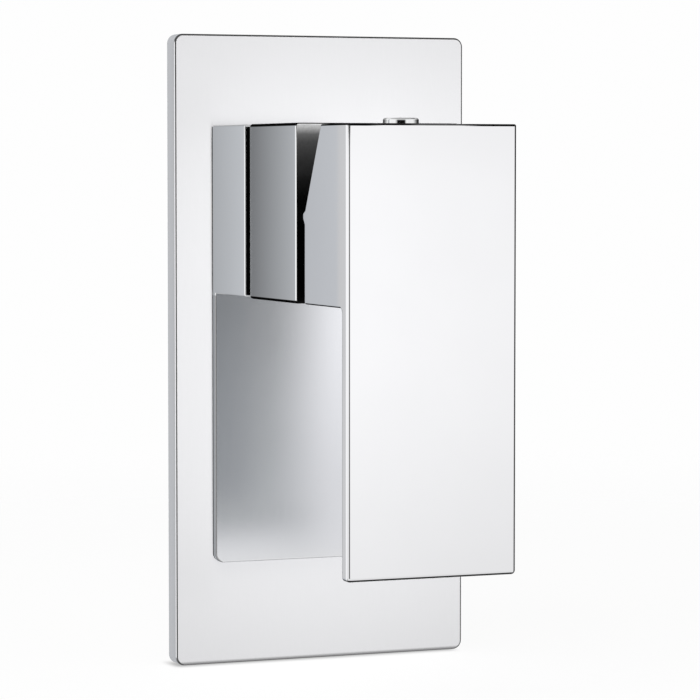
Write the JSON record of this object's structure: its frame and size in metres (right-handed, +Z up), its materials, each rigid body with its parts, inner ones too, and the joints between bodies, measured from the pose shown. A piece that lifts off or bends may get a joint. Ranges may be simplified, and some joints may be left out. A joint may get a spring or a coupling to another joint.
{
  "type": "wall mixer tap",
  "caption": "Square chrome wall mixer tap for bath and shower: tall wall plate, fixed cover, turning sleeve, L-shaped lever, pull-up diverter knob and a concealed brass valve.",
  "frame": {"origin": "centre of the wall plate's back face, in the plane of the wall", "axes": "+X to the right seen from the front, +Y into the wall, +Z up; the lever faces -Y"},
  "size_m": [0.0752, 0.1186, 0.1518],
  "materials": {
    "chrome": "polished chrome plate",
    "brass": "cast and machined brass",
    "black_metal": "black finish",
    "black_plastic": "moulded",
    "white_plastic": "moulded",
    "ceramic": "lapped ceramic",
    "steel": "stainless",
    "seal_rubber": "smooth",
    "foam": "closed-cell foam"
  },
  "bodies": {
    "fixed": {"wall_plate": "chrome", "body_cover": "chrome", "diverter_body": "chrome", "diverter_bonnet": "chrome", "valve_body": "brass", "cartridge_nut": "brass", "diverter_plug": "brass", "cover_ring_nut": "black_metal", "gap_frame": "black_plastic", "slip_ring": "black_plastic", "cartridge_housing": "white_plastic", "cartridge_base": "white_plastic", "inlet_check_valves": "white_plastic", "fixed_disc": "ceramic", "plate_screws": "steel", "diverter_spring": "steel", "cover_seal": "seal_rubber", "base_seals": "seal_rubber", "port_seals": "seal_rubber", "rod_seal": "seal_rubber", "plate_gasket": "foam"},
    "turning": {"carrier_sleeve": "chrome", "sleeve_screws": "steel", "stem_guide": "black_plastic", "stem_pin": "steel"},
    "disc": {"moving_disc": "ceramic", "disc_holder": "black_plastic"},
    "lever": {"handle": "chrome", "lever_stem": "brass", "handle_grub_screw": "steel", "grub_cap": "chrome"},
    "diverter": {"diverter_knob": "chrome", "diverter_rod": "steel", "diverter_piston": "brass", "piston_seal": "seal_rubber"}
  },
  "joints": [
    {"name": "temperature_turn", "type": "hinge", "parent": "fixed", "child": "turning", "pos_m": [-0.0082, -0.04, 0.0338], "axis": [0, 1, 0], "range_deg": [-45, 45]},
    {"name": "flow_lift", "type": "hinge", "parent": "turning", "child": "lever", "pos_m": [-0.0082, -0.0504, 0.0338], "axis": [-1, 0, 0], "range_deg": [0, 25]},
    {"name": "disc_slide", "type": "slide", "parent": "turning", "child": "disc", "axis": [0, 0, -1], "range_m": [0, 0.0039]},
    {"name": "diverter_pull", "type": "slide", "parent": "fixed", "child": "diverter", "axis": [0, 0, 1], "range_m": [0, 0.0056], "stiffness_N_per_m": 250, "springref_m": -0.006, "deforming": ["diverter_spring"]}
  ],
  "couplings": [
    {"joint": "disc_slide", "follows": "flow_lift", "m_per_rad": 0.00891}
  ]
}
